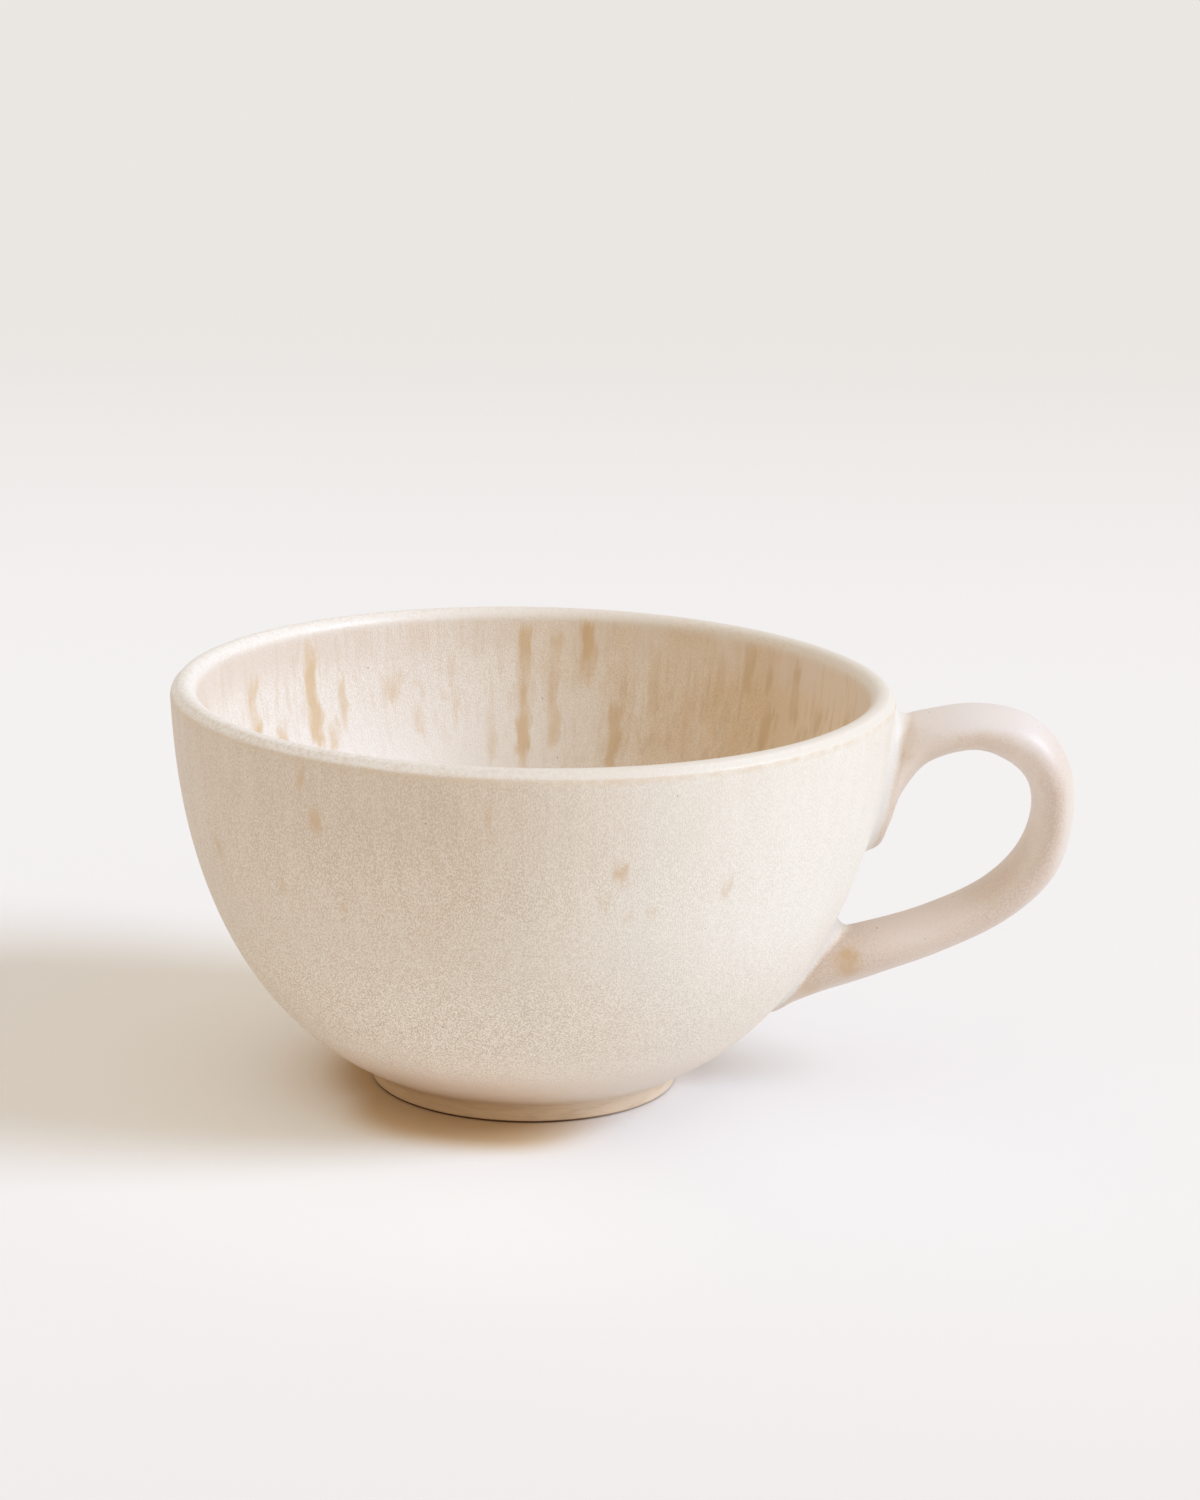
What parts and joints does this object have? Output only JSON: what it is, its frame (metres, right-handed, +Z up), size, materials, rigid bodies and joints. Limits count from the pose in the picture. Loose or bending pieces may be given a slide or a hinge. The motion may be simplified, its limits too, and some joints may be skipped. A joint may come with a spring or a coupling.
{
  "type": "cappuccino cup",
  "caption": "Wide, rounded cappuccino cup in cream reactive-glazed stoneware on a low turned foot ring, with an open ear-shaped strap handle.",
  "frame": {"origin": "centre of the foot ring's resting face", "axes": "+Z up towards the open rim, +X towards the handle, +Y completes a right-handed frame"},
  "size_m": [0.1393, 0.11, 0.0632],
  "materials": {
    "stoneware": "fired buff clay, matte",
    "slip": "pale slip under pooled glaze, satin",
    "outer_glaze": "satin cream reactive glaze with fine crystals",
    "inner_glaze": "satin lilac-white reactive glaze with ochre runs",
    "handle_glaze": "semi-gloss pinkish-white glaze"
  },
  "bodies": {
    "root": {"bowl": "stoneware", "foot_ring": "stoneware", "handle": "stoneware", "upper_joint": "slip", "lower_joint": "slip", "outer_glaze": "outer_glaze", "inner_glaze": "inner_glaze", "handle_glaze": "handle_glaze"}
  },
  "joints": []
}
